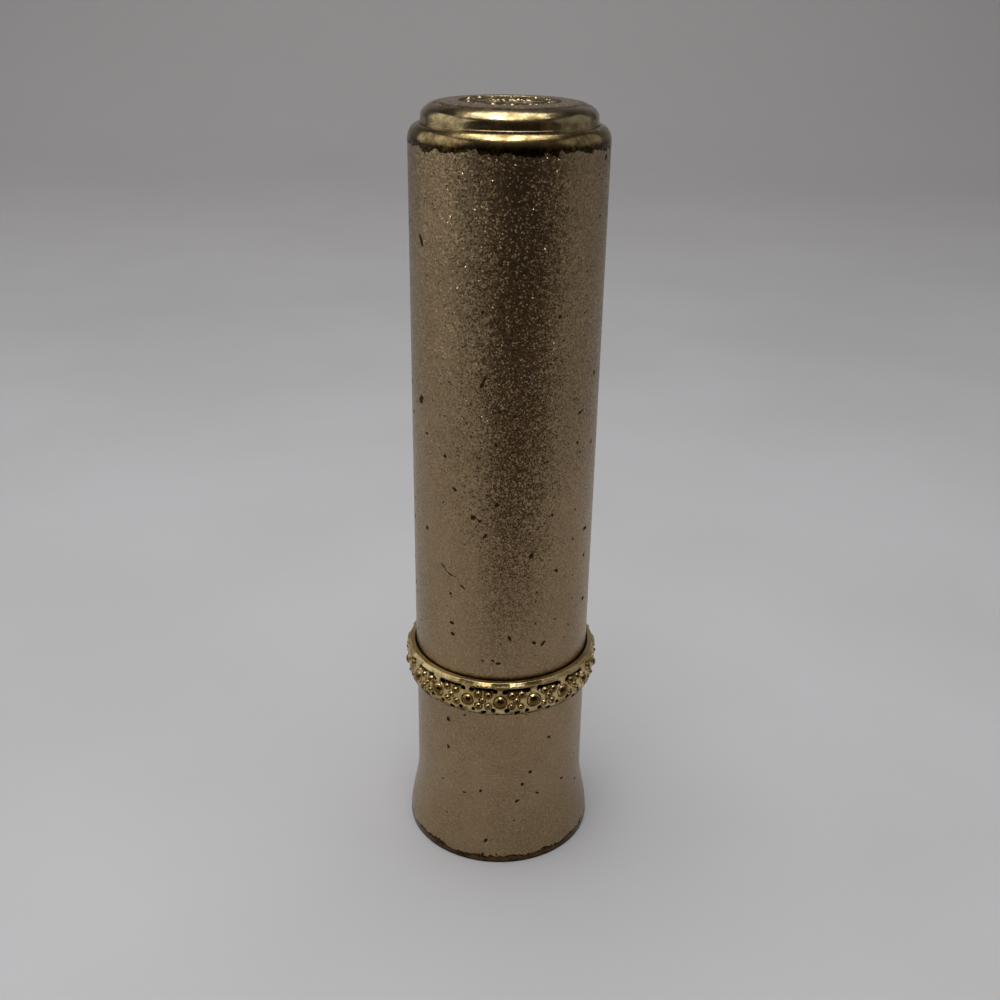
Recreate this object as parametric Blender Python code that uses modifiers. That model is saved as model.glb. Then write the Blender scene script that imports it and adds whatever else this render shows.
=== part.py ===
"""Swivel lipstick case: flared base, beaded ring, screw mechanism and pull-off cap.

The origin is at the centre of the foot, +Z runs up the case and -Y is its front.
The base, its inner tube and the ring stand still. The sleeve turns about Z, and its
helical slots drive the studs of the cup up the straight slots of the inner tube.
"""
import math

import bmesh
import bpy
from mathutils import Matrix, Vector

MM = 0.001

# Fineness of the shapes
SEGMENTS = 48
FLARE_STEPS = 6
ARC_STEPS = 3
STUD_SIDES = 12
MERGE_DISTANCE = 0.001 * MM

# Gaps: round pieces that slide in each other, and pieces that rest on each other
SLIDE_GAP = 0.2 * MM
SEAT_GAP = 0.3 * MM

# Base shell
FOOT_RADIUS = 9.8 * MM
NECK_RADIUS = 8.87 * MM
FLARE_HEIGHT = 7.2 * MM
BASE_HEIGHT = 21.1 * MM
BASE_WALL = 0.45 * MM
RIM_WIDTH = 0.95 * MM
RIM_CHAMFER = 0.12 * MM

# Base plate and its label
PLATE_THICKNESS = 0.4 * MM
LABEL_RADIUS = 6.5 * MM
LABEL_THICKNESS = 0.15 * MM

# Ring of beads round the joint
RING_TOP = 22.1 * MM
RING_HEIGHT = 3.85 * MM
RING_INNER_RADIUS = 9.15 * MM
RING_BAND_RADIUS = 9.85 * MM
RING_LIP_RADIUS = 10.05 * MM
RING_LIP_HEIGHT = 0.65 * MM
BEAD_COUNT = 18
BEAD_RADIUS = 0.62 * MM
BEAD_REACH = 10.3 * MM

# Stick and the walls that nest round it, from the inside out
STICK_RADIUS = 5.6 * MM
CUP_WALL = 0.3 * MM
TUBE_WALL = 0.4 * MM
SPIRAL_WALL = 0.4 * MM
SLEEVE_WALL = 0.35 * MM
LINER_WALL = 0.3 * MM

# Screw mechanism
LEAD = 16.0 * MM
LIFT = 20.0 * MM
STUD_HEIGHT = 11.0 * MM
STUD_RADIUS = 0.65 * MM
SLOT_HALF_WIDTH = 0.85 * MM
SLOT_END_ROOM = 0.25 * MM
SPIRAL_STEP = math.radians(12.0)

# Heights of the mechanism's pieces
CUP_BOTTOM = 5.5 * MM
CUP_HEIGHT = 12.0 * MM
STICK_TOP = 43.0 * MM
STICK_TIP_RISE = 3.0 * MM
STICK_SLANT = math.radians(48.0)
STICK_CUT_DROP = 8.0 * MM
TUBE_TOP = 43.7 * MM
FLANGE_THICKNESS = 0.3 * MM
INSERT_TOP = 8.2 * MM
INSERT_FLANGE = 0.6 * MM
WASHER_THICKNESS = 0.4 * MM
SLEEVE_TOP = 44.5 * MM
SLEEVE_MOUTH_RADIUS = 6.35 * MM
SLEEVE_EDGE = 0.7 * MM

# Cap
CAP_RADIUS = 8.94 * MM
CAP_SHOULDER_RADIUS = 9.06 * MM
CAP_WALL = 0.45 * MM
CAP_BOTTOM = 21.4 * MM
CAP_TOP = 76.0 * MM
SHOULDER_START = 72.8 * MM
SHOULDER_TOP = 74.1 * MM
SHOULDER_MOUTH_RADIUS = 8.2 * MM
LINER_BOTTOM = 21.8 * MM
LINER_TOP = 46.0 * MM
FINGER_COUNT = 6
FINGER_LENGTH = 10.0 * MM
FINGER_GAP = 0.8 * MM

# Stamped top of the cap
PLINTH_RADIUS = 7.9 * MM
PLINTH_EDGE_WIDTH = 2.3 * MM
PLINTH_EDGE_HEIGHT = 1.3 * MM
LEDGE_RADIUS = 8.0 * MM
LEDGE_RISE = 0.15 * MM
CREST_RADIUS = 4.5 * MM
CREST_DEPTH = 0.15 * MM
TOP_FLANGE_RADIUS = 8.35 * MM
TOP_FLANGE_HEIGHT = 73.3 * MM

# Radii that follow from the walls and gaps
CUP_INNER = STICK_RADIUS + SLIDE_GAP
CUP_OUTER = CUP_INNER + CUP_WALL
TUBE_INNER = CUP_OUTER + SLIDE_GAP
TUBE_OUTER = TUBE_INNER + TUBE_WALL
SPIRAL_INNER = TUBE_OUTER + SLIDE_GAP
SPIRAL_OUTER = SPIRAL_INNER + SPIRAL_WALL
SLEEVE_INNER = SPIRAL_OUTER + SLIDE_GAP
SLEEVE_OUTER = SLEEVE_INNER + SLEEVE_WALL
LINER_INNER = SLEEVE_OUTER + SLIDE_GAP
LINER_OUTER = LINER_INNER + LINER_WALL

# Heights that follow from the gaps
PLATE_BOTTOM = BASE_WALL + SEAT_GAP
PLATE_TOP = PLATE_BOTTOM + PLATE_THICKNESS
TUBE_BOTTOM = PLATE_TOP + SEAT_GAP
INSERT_BOTTOM = TUBE_BOTTOM + FLANGE_THICKNESS + SEAT_GAP
WASHER_BOTTOM = INSERT_TOP + SEAT_GAP
SPIRAL_BOTTOM = WASHER_BOTTOM + WASHER_THICKNESS + SEAT_GAP
SPIRAL_TOP = TUBE_TOP - FLANGE_THICKNESS - SEAT_GAP

# Finishes: linear base colour, metallic, roughness
LACQUERED_BRASS = ("lacquered_brass", (0.30, 0.24, 0.16), 0.9, 0.45)
GILT_BRASS = ("gilt_brass", (0.80, 0.58, 0.27), 1.0, 0.22)
PLAIN_BRASS = ("plain_brass", (0.68, 0.50, 0.25), 1.0, 0.35)
POLISHED_SLEEVE = ("polished_sleeve", (0.78, 0.60, 0.32), 1.0, 0.2)
LINER_ALUMINIUM = ("liner_aluminium", (0.70, 0.70, 0.68), 1.0, 0.35)
WASHER_PLASTIC = ("washer_plastic", (0.70, 0.66, 0.56), 0.0, 0.5)
LABEL_PAPER = ("label_paper", (0.75, 0.70, 0.58), 0.0, 0.85)
STICK_WAX = ("stick_wax", (0.42, 0.03, 0.04), 0.0, 0.4)


def clear_scene():
    for thing in list(bpy.data.objects):
        bpy.data.objects.remove(thing, do_unlink=True)


def make_collection(name):
    collection = bpy.data.collections.new(name)
    bpy.context.scene.collection.children.link(collection)
    return collection


def make_material(piece_name, finish):
    finish_name, colour, metallic, roughness = finish
    material = bpy.data.materials.new(piece_name + "_" + finish_name)
    material.use_nodes = True
    shader = material.node_tree.nodes["Principled BSDF"]
    shader.inputs["Base Color"].default_value = (*colour, 1.0)
    shader.inputs["Metallic"].default_value = metallic
    shader.inputs["Roughness"].default_value = roughness
    material.diffuse_color = (*colour, 1.0)
    return material


def add_object(name, mesh, collection):
    piece = bpy.data.objects.new(name, mesh)
    collection.objects.link(piece)
    return piece


def turn(piece):
    """Give a piece whose mesh is an outline in the XZ plane its full turn about Z."""
    screw = piece.modifiers.new("turn", "SCREW")
    screw.axis = "Z"
    screw.angle = math.tau
    screw.steps = SEGMENTS
    screw.render_steps = SEGMENTS
    screw.use_smooth_shade = True
    screw.use_merge_vertices = True
    screw.merge_threshold = MERGE_DISTANCE


def turned_piece(name, outline, finish, collection):
    """Lathe an outline of (radius, height) points that runs down its outer side."""
    mesh = bpy.data.meshes.new(name)
    points = [(radius, 0.0, height) for radius, height in outline]
    edges = [(index, index + 1) for index in range(len(points) - 1)]
    is_closed_loop = outline[0][0] > 0.0
    if is_closed_loop:
        edges.append((len(points) - 1, 0))
    mesh.from_pydata(points, edges, [])
    mesh.materials.append(make_material(name, finish))
    piece = add_object(name, mesh, collection)
    turn(piece)
    return piece


def arc(centre_radius, centre_height, reach, rise, start, end):
    """Points of an elliptical arc in the outline's plane; angles are in degrees."""
    points = []
    for step in range(ARC_STEPS + 1):
        angle = math.radians(start + (end - start) * step / ARC_STEPS)
        radius = centre_radius + reach * math.cos(angle)
        height = centre_height + rise * math.sin(angle)
        points.append((radius, height))
    return points


def tube_outline(inner, outer, bottom, top):
    return [(outer, top), (outer, bottom), (inner, bottom), (inner, top)]


def as_cutter(piece, cutters):
    cutters.objects.link(piece)
    piece.hide_render = True
    piece.display_type = "WIRE"


def box_cutter(name, size, place, turn_matrix, cutters):
    mesh = bpy.data.meshes.new(name)
    shape = bmesh.new()
    bmesh.ops.create_cube(shape, size=1.0, matrix=Matrix.Diagonal((*size, 1.0)))
    shape.to_mesh(mesh)
    shape.free()
    cutter = bpy.data.objects.new(name, mesh)
    cutter.matrix_world = Matrix.Translation(place) @ turn_matrix
    as_cutter(cutter, cutters)
    return cutter


def combine(piece, other, operation):
    boolean = piece.modifiers.new(other.name, "BOOLEAN")
    boolean.operation = operation
    boolean.solver = "EXACT"
    boolean.object = other


def flare_radius(height):
    """Outer radius of the foot: an S-shaped flare that runs out in the neck."""
    if height >= FLARE_HEIGHT:
        return NECK_RADIUS
    swing = 0.5 * (1.0 + math.cos(math.pi * height / FLARE_HEIGHT))
    return NECK_RADIUS + (FOOT_RADIUS - NECK_RADIUS) * swing


def make_base_shell(collection):
    """Drawn shell with its rim rolled in below and its upper edge turned in to the sleeve."""
    heights = [FLARE_HEIGHT * step / FLARE_STEPS for step in range(FLARE_STEPS, 0, -1)]
    outside = [(flare_radius(height), height) for height in heights]
    inside = [(radius - BASE_WALL, height) for radius, height in reversed(outside[:-1])]
    rim_inner = FOOT_RADIUS - RIM_WIDTH
    outline = [(NECK_RADIUS - RIM_CHAMFER, BASE_HEIGHT), (NECK_RADIUS, BASE_HEIGHT - RIM_CHAMFER)]
    outline += outside
    outline += [(FOOT_RADIUS, RIM_CHAMFER), (FOOT_RADIUS - RIM_CHAMFER, 0.0), (rim_inner, 0.0)]
    outline += [(rim_inner, BASE_WALL), (FOOT_RADIUS - BASE_WALL, BASE_WALL)]
    outline += inside
    outline += [(NECK_RADIUS - BASE_WALL, BASE_HEIGHT - BASE_WALL)]
    outline += [(LINER_INNER, BASE_HEIGHT - BASE_WALL), (LINER_INNER, BASE_HEIGHT)]
    return turned_piece("base_shell", outline, LACQUERED_BRASS, collection)


def make_base_plate(collection):
    radius = FOOT_RADIUS - RIM_WIDTH + 0.5 * SLIDE_GAP
    outline = [(0.0, PLATE_TOP), (radius, PLATE_TOP), (radius, PLATE_BOTTOM), (0.0, PLATE_BOTTOM)]
    return turned_piece("base_plate", outline, PLAIN_BRASS, collection)


def make_shade_label(collection):
    top = PLATE_BOTTOM - SEAT_GAP
    bottom = top - LABEL_THICKNESS
    outline = [(0.0, top), (LABEL_RADIUS, top), (LABEL_RADIUS, bottom), (0.0, bottom)]
    return turned_piece("shade_label", outline, LABEL_PAPER, collection)


def make_base_insert(collection):
    """Collar that fills the neck of the base round the tube, with a wider foot."""
    outer = NECK_RADIUS - BASE_WALL - SEAT_GAP
    flange = outer + INSERT_FLANGE
    flange_top = INSERT_BOTTOM + INSERT_FLANGE
    outline = [(outer, INSERT_TOP), (outer, flange_top), (flange, flange_top)]
    outline += [(flange, INSERT_BOTTOM), (SPIRAL_INNER, INSERT_BOTTOM), (SPIRAL_INNER, INSERT_TOP)]
    return turned_piece("base_insert", outline, PLAIN_BRASS, collection)


def make_slotted_tube(collection, cutters):
    """Fixed tube with an upright slot on each side, flanged out below and above."""
    foot = SPIRAL_OUTER + SEAT_GAP
    head = SPIRAL_OUTER - 0.25 * SLIDE_GAP
    outline = [(head, TUBE_TOP), (head, TUBE_TOP - FLANGE_THICKNESS)]
    outline += [(TUBE_OUTER, TUBE_TOP - FLANGE_THICKNESS), (TUBE_OUTER, TUBE_BOTTOM + FLANGE_THICKNESS)]
    outline += [(foot, TUBE_BOTTOM + FLANGE_THICKNESS), (foot, TUBE_BOTTOM)]
    outline += [(TUBE_INNER, TUBE_BOTTOM), (TUBE_INNER, TUBE_TOP)]
    tube = turned_piece("slotted_tube", outline, PLAIN_BRASS, collection)
    end_room = SLOT_HALF_WIDTH + SLOT_END_ROOM
    size = (4.0 * TUBE_OUTER, 2.0 * SLOT_HALF_WIDTH, LIFT + 2.0 * end_room)
    place = Vector((0.0, 0.0, STUD_HEIGHT + 0.5 * LIFT))
    combine(tube, box_cutter("slot_cutter", size, place, Matrix.Identity(4), cutters), "DIFFERENCE")
    return tube


def make_friction_washer(collection):
    outer = NECK_RADIUS - BASE_WALL - SEAT_GAP
    outline = tube_outline(SPIRAL_INNER, outer, WASHER_BOTTOM, WASHER_BOTTOM + WASHER_THICKNESS)
    return turned_piece("friction_washer", outline, WASHER_PLASTIC, collection)


def helix_cutter(name, start_angle, cutters):
    """Round bar along the path of a stud in the turning sleeve, as a closed mesh."""
    radius = 0.5 * (SPIRAL_INNER + SPIRAL_OUTER)
    rise = LEAD / math.tau
    end_room = (STUD_RADIUS + SLOT_END_ROOM) / math.hypot(radius, rise)
    first = -end_room
    last = LIFT / rise + end_room
    count = math.ceil((last - first) / SPIRAL_STEP)
    curve = bpy.data.curves.new(name, "CURVE")
    curve.dimensions = "3D"
    curve.bevel_depth = SLOT_HALF_WIDTH
    curve.bevel_resolution = 2
    curve.use_fill_caps = True
    path = curve.splines.new("POLY")
    path.points.add(count)
    for index, point in enumerate(path.points):
        travel = first + (last - first) * index / count
        x = radius * math.cos(start_angle + travel)
        y = radius * math.sin(start_angle + travel)
        point.co = (x, y, STUD_HEIGHT + rise * travel, 1.0)
    bar = bpy.data.objects.new(name + "_path", curve)
    cutters.objects.link(bar)
    view = bpy.context.evaluated_depsgraph_get()
    mesh = bpy.data.meshes.new_from_object(bar.evaluated_get(view))
    shape = bmesh.new()
    shape.from_mesh(mesh)
    bmesh.ops.remove_doubles(shape, verts=shape.verts, dist=MERGE_DISTANCE)
    shape.to_mesh(mesh)
    shape.free()
    cutter = bpy.data.objects.new(name, mesh)
    as_cutter(cutter, cutters)
    bpy.data.objects.remove(bar, do_unlink=True)
    return cutter


def make_spiral_sleeve(collection, cutters):
    outline = tube_outline(SPIRAL_INNER, SPIRAL_OUTER, SPIRAL_BOTTOM, SPIRAL_TOP)
    sleeve = turned_piece("spiral_sleeve", outline, PLAIN_BRASS, collection)
    for name, start_angle in (("helix_cutter_right", 0.0), ("helix_cutter_left", math.pi)):
        combine(sleeve, helix_cutter(name, start_angle, cutters), "DIFFERENCE")
    return sleeve


def make_outer_sleeve(collection):
    """Sleeve that the hand turns, with its mouth turned in over the tube's flange."""
    inner_edge = SLEEVE_EDGE - SLEEVE_WALL
    outline = [(SLEEVE_MOUTH_RADIUS, SLEEVE_TOP)]
    edge_start = SLEEVE_TOP - SLEEVE_EDGE
    outline += arc(SLEEVE_OUTER - SLEEVE_EDGE, edge_start, SLEEVE_EDGE, SLEEVE_EDGE, 90.0, 0.0)
    outline += [(SLEEVE_OUTER, SPIRAL_BOTTOM), (SLEEVE_INNER, SPIRAL_BOTTOM)]
    outline += arc(SLEEVE_INNER - inner_edge, edge_start, inner_edge, inner_edge, 0.0, 90.0)
    outline += [(SLEEVE_MOUTH_RADIUS, SLEEVE_TOP - SLEEVE_WALL)]
    return turned_piece("outer_sleeve", outline, POLISHED_SLEEVE, collection)


def cylinder_mesh(name, radius, length, sides):
    """Closed cylinder along X, centred on the origin."""
    mesh = bpy.data.meshes.new(name)
    shape = bmesh.new()
    lay_down = Matrix.Rotation(math.radians(90.0), 4, "Y")
    bmesh.ops.create_cone(
        shape, cap_ends=True, segments=sides, radius1=radius, radius2=radius,
        depth=length, matrix=lay_down)
    shape.to_mesh(mesh)
    shape.free()
    mesh.shade_smooth()
    mesh.set_sharp_from_angle(angle=math.radians(40.0))
    return mesh


def make_carrier_cup(collection, cutters):
    """Cup for the stick, with a hole in each side for a stud."""
    floor = CUP_BOTTOM + CUP_WALL
    top = CUP_BOTTOM + CUP_HEIGHT
    outline = [(0.0, floor), (CUP_INNER, floor), (CUP_INNER, top)]
    outline += [(CUP_OUTER, top), (CUP_OUTER, CUP_BOTTOM), (0.0, CUP_BOTTOM)]
    cup = turned_piece("carrier_cup", outline, PLAIN_BRASS, collection)
    hole = cylinder_mesh("stud_hole_cutter", STUD_RADIUS + SLIDE_GAP, 4.0 * CUP_OUTER, STUD_SIDES)
    cutter = bpy.data.objects.new("stud_hole_cutter", hole)
    cutter.location = (0.0, 0.0, STUD_HEIGHT)
    as_cutter(cutter, cutters)
    combine(cup, cutter, "DIFFERENCE")
    return cup


def make_carrier_studs(collection):
    """Pins from the cup's wall through the straight slot into the helical slot."""
    inner = CUP_INNER + 0.25 * SLIDE_GAP
    length = SPIRAL_OUTER - inner
    studs = []
    for name, side in (("carrier_stud_right", 1.0), ("carrier_stud_left", -1.0)):
        mesh = cylinder_mesh(name, STUD_RADIUS, length, STUD_SIDES)
        mesh.materials.append(make_material(name, PLAIN_BRASS))
        stud = add_object(name, mesh, collection)
        stud.location = (side * (inner + 0.5 * length), 0.0, STUD_HEIGHT)
        studs.append(stud)
    return studs


def make_lipstick(collection, cutters):
    """Domed stick with the flat slanted face that a mould gives it."""
    bottom = CUP_BOTTOM + CUP_WALL + SEAT_GAP
    outline = arc(0.0, STICK_TOP - STICK_TIP_RISE, STICK_RADIUS, STICK_TIP_RISE, 90.0, 0.0)
    outline[0] = (0.0, STICK_TOP)
    outline += [(STICK_RADIUS, bottom), (0.0, bottom)]
    stick = turned_piece("lipstick", outline, STICK_WAX, collection)
    slant = Matrix.Rotation(STICK_SLANT, 4, "X")
    side = 4.0 * STICK_RADIUS
    normal = slant @ Vector((0.0, 0.0, 1.0))
    face_centre = Vector((0.0, 0.0, STICK_TOP - STICK_CUT_DROP * 0.5))
    place = face_centre + normal * (0.5 * side)
    combine(stick, box_cutter("slant_cutter", (side, side, side), place, slant, cutters), "DIFFERENCE")
    return stick


def make_ornament_ring(collection, cutters):
    """Band with a raised upper lip and a row of large beads."""
    bottom = RING_TOP - RING_HEIGHT
    lip_bottom = RING_TOP - RING_LIP_HEIGHT
    edge = 0.5 * (RING_LIP_RADIUS - RING_BAND_RADIUS)
    outline = [(RING_BAND_RADIUS, RING_TOP), (RING_LIP_RADIUS, RING_TOP - edge)]
    outline += [(RING_LIP_RADIUS, lip_bottom + edge), (RING_BAND_RADIUS, lip_bottom)]
    outline += [(RING_BAND_RADIUS, bottom + edge), (RING_BAND_RADIUS - edge, bottom)]
    outline += [(RING_INNER_RADIUS, bottom), (RING_INNER_RADIUS, RING_TOP)]
    ring = turned_piece("ornament_ring", outline, GILT_BRASS, collection)
    mesh = bpy.data.meshes.new("bead_row")
    shape = bmesh.new()
    bead_height = 0.5 * (bottom + lip_bottom)
    for index in range(BEAD_COUNT):
        around = Matrix.Rotation(math.tau * (index + 0.5) / BEAD_COUNT, 4, "Z")
        out = Matrix.Translation((BEAD_REACH - BEAD_RADIUS, 0.0, bead_height))
        bmesh.ops.create_uvsphere(
            shape, u_segments=8, v_segments=6, radius=BEAD_RADIUS, matrix=around @ out)
    shape.to_mesh(mesh)
    shape.free()
    beads = bpy.data.objects.new("bead_row", mesh)
    as_cutter(beads, cutters)
    combine(ring, beads, "UNION")
    return ring


def make_cap_shell(collection):
    """Long tube, a little wider towards its top, with its shoulder rolled in."""
    drop = SHOULDER_TOP - SHOULDER_START
    reach = CAP_SHOULDER_RADIUS - SHOULDER_MOUTH_RADIUS
    outline = arc(SHOULDER_MOUTH_RADIUS, SHOULDER_START, reach, drop, 90.0, 0.0)
    outline += [(CAP_RADIUS, CAP_BOTTOM), (CAP_RADIUS - CAP_WALL, CAP_BOTTOM)]
    outline += arc(SHOULDER_MOUTH_RADIUS, SHOULDER_START, reach - CAP_WALL, drop - CAP_WALL, 0.0, 90.0)
    return turned_piece("cap_shell", outline, LACQUERED_BRASS, collection)


def make_cap_top(collection):
    """Stamped plinth with a sunken round field, held by a flange below the shoulder."""
    inner = PLINTH_RADIUS - CAP_WALL
    inner_width = PLINTH_EDGE_WIDTH - CAP_WALL
    inner_height = PLINTH_EDGE_HEIGHT - 0.3 * CAP_WALL
    edge_centre = PLINTH_RADIUS - PLINTH_EDGE_WIDTH
    edge_start = CAP_TOP - PLINTH_EDGE_HEIGHT
    ledge_height = SHOULDER_TOP + LEDGE_RISE
    ledge_slope = LEDGE_RADIUS - PLINTH_RADIUS
    flange_bottom = TOP_FLANGE_HEIGHT - CAP_WALL
    crest_floor = CAP_TOP - CREST_DEPTH
    outline = [(0.0, crest_floor), (CREST_RADIUS, crest_floor), (CREST_RADIUS + CREST_DEPTH, CAP_TOP)]
    outline += arc(edge_centre, edge_start, PLINTH_EDGE_WIDTH, PLINTH_EDGE_HEIGHT, 90.0, 0.0)
    outline += [(PLINTH_RADIUS, ledge_height + ledge_slope), (LEDGE_RADIUS, ledge_height)]
    outline += [(LEDGE_RADIUS, SHOULDER_TOP), (PLINTH_RADIUS, SHOULDER_TOP - ledge_slope)]
    outline += [(PLINTH_RADIUS, TOP_FLANGE_HEIGHT), (TOP_FLANGE_RADIUS, TOP_FLANGE_HEIGHT)]
    outline += [(TOP_FLANGE_RADIUS, flange_bottom), (inner, flange_bottom)]
    outline += arc(edge_centre, CAP_TOP - CAP_WALL - inner_height, inner_width, inner_height, 0.0, 90.0)
    outline += [(CREST_RADIUS, CAP_TOP - CAP_WALL), (CREST_RADIUS, crest_floor - CAP_WALL)]
    outline += [(0.0, crest_floor - CAP_WALL)]
    return turned_piece("cap_top", outline, LACQUERED_BRASS, collection)


def make_cap_liner(collection, cutters):
    """Springy tube in the cap, slit from below into fingers that grip the sleeve."""
    outline = tube_outline(LINER_INNER, LINER_OUTER, LINER_BOTTOM, LINER_TOP)
    liner = turned_piece("cap_liner", outline, LINER_ALUMINIUM, collection)
    size = (4.0 * LINER_OUTER, FINGER_GAP, 2.0 * FINGER_LENGTH)
    place = Vector((0.0, 0.0, LINER_BOTTOM))
    for index in range(FINGER_COUNT // 2):
        around = Matrix.Rotation(math.tau * (index + 0.25) / FINGER_COUNT, 4, "Z")
        name = "finger_cutter_" + str(index + 1)
        combine(liner, box_cutter(name, size, place, around, cutters), "DIFFERENCE")
    return liner


def main():
    clear_scene()
    case = make_collection("lipstick_case")
    cutters = make_collection("lipstick_case_cutters")
    make_base_shell(case)
    make_base_plate(case)
    make_shade_label(case)
    make_base_insert(case)
    make_slotted_tube(case, cutters)
    make_friction_washer(case)
    make_ornament_ring(case, cutters)
    make_spiral_sleeve(case, cutters)
    make_outer_sleeve(case)
    make_carrier_cup(case, cutters)
    make_carrier_studs(case)
    make_lipstick(case, cutters)
    make_cap_shell(case)
    make_cap_top(case)
    make_cap_liner(case, cutters)


main()
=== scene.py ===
"""Looks of the swivel lipstick case: fine skins over the CAD frame, finishes, light and camera.

Lengths are in metres, +Z runs up the case and -Y is its front.
"""
import math

import bpy
import numpy as np
from mathutils import Matrix, Vector


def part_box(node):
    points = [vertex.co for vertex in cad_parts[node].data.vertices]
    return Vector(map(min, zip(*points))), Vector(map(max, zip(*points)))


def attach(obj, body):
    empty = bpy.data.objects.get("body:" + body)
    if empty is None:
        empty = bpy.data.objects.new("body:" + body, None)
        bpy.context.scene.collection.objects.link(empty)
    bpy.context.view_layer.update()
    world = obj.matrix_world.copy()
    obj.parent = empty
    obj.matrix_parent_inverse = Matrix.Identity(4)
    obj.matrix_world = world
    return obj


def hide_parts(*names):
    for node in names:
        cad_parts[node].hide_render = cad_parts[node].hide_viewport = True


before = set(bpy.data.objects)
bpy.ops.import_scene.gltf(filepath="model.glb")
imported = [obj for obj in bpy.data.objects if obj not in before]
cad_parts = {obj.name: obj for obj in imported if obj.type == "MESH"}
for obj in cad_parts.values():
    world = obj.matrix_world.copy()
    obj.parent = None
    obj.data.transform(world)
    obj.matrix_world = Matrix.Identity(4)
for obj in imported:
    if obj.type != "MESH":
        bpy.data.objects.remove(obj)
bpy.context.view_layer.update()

MM = 0.001

# Fineness of the skins
SHELL_COLUMNS = 256
RING_COLUMNS_PER_BEAD = 64
CREST_COLUMNS = 432
FILLET_STEPS = 7
SUPPORT = 0.12 * MM

# Blasted facets of the lacquered brass, and the heights between which they get steeper
FACET_SIZE = 0.12 * MM
CALM_BELOW, STEEP_ABOVE = 28.0 * MM, 52.0 * MM

# Sizes that the skins share with the frame
BASE_LOW, BASE_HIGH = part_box("base_shell")
RING_LOW, RING_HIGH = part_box("ornament_ring")
SLEEVE_LOW, SLEEVE_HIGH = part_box("outer_sleeve")
STICK_LOW, STICK_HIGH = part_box("lipstick")
SHELL_LOW, SHELL_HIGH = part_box("cap_shell")
TOP_LOW, TOP_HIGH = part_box("cap_top")
LINER_LOW, LINER_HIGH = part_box("cap_liner")
PLATE_LOW, PLATE_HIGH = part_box("base_plate")
LABEL_LOW, LABEL_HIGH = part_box("shade_label")

FOOT_RADIUS = BASE_HIGH.x
NECK_RADIUS = 8.87 * MM
FLARE_HEIGHT = 7.2 * MM
WALL = 0.45 * MM
RIM_WIDTH = 0.95 * MM
CAP_RADIUS = 8.94 * MM
SHOULDER_START = 72.8 * MM
PLINTH_RADIUS = 7.9 * MM
PLINTH_EDGE_WIDTH = 2.3 * MM
PLINTH_EDGE_HEIGHT = 1.3 * MM
LEDGE_RADIUS = 8.0 * MM
LEDGE_TOP = 74.25 * MM
CREST_RADIUS = 4.5 * MM
CREST_DEPTH = 0.15 * MM
BEAD_COUNT = 18
BEAD_ROW = 1.75 * MM
RELIEF_DEPTH = 0.72 * MM
WEB_RISE = 0.36 * MM
LIP_HEIGHT = 0.45 * MM
SLEEVE_MOUTH_RADIUS = 6.35 * MM
SLEEVE_WALL = 0.35 * MM
GRIP_LINES = (26.0 * MM, 25.2 * MM)

# Larger chips and strokes in the lacquer: across, up, half length, half width, tilt
CAP_MARKS = [
    (-1.9, 53.1, 0.75, 0.13, 68), (-2.1, 52.6, 0.25, 0.2, 60), (-7.8, 49.8, 0.5, 0.2, 80),
    (-7.6, 64.6, 0.6, 0.16, 105), (-2.8, 39.6, 0.3, 0.25, 30), (-1.7, 37.8, 0.4, 0.14, 60),
    (2.7, 35.7, 0.32, 0.24, 70), (-5.7, 33.6, 0.5, 0.07, 128), (-5.2, 33.1, 0.5, 0.07, 145),
    (-4.6, 32.9, 0.5, 0.06, 158), (-3.8, 32.0, 0.35, 0.09, 145), (-4.9, 27.7, 0.24, 0.2, 20),
    (-4.8, 26.5, 0.26, 0.2, 150), (0.8, 26.9, 0.35, 0.14, 112), (3.2, 26.1, 0.25, 0.16, 130),
    (4.1, 25.8, 0.36, 0.15, 45), (-0.3, 24.0, 0.28, 0.15, 10), (-0.8, 24.3, 0.18, 0.12, 160),
    (-1.8, 24.2, 0.2, 0.1, 150), (-4.6, 42.1, 0.3, 0.16, 130), (3.8, 45.1, 0.28, 0.11, 25),
    (8.0, 36.6, 0.2, 0.2, 0), (7.0, 49.2, 0.35, 0.12, 30), (0.8, 46.3, 0.2, 0.14, 20)]
BASE_MARKS = [
    (3.2, 10.6, 0.2, 0.2, 30), (2.4, 9.2, 0.18, 0.2, 0), (1.9, 7.2, 0.3, 0.16, 20),
    (-1.9, 8.4, 0.22, 0.16, 70), (4.0, 7.7, 0.3, 0.12, 140), (-1.3, 2.6, 0.28, 0.17, 50),
    (-5.9, 8.4, 0.14, 0.1, 0), (-3.6, 7.8, 0.2, 0.1, 10)]


# ---------------------------------------------------------------- shapes

def linear(hex_colour):
    """sRGB hex to the linear colour that shaders take."""
    channels = []
    for start in (1, 3, 5):
        value = int(hex_colour[start:start + 2], 16) / 255.0
        channels.append(value / 12.92 if value <= 0.04045 else ((value + 0.055) / 1.055) ** 2.4)
    return (*channels, 1.0)


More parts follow.
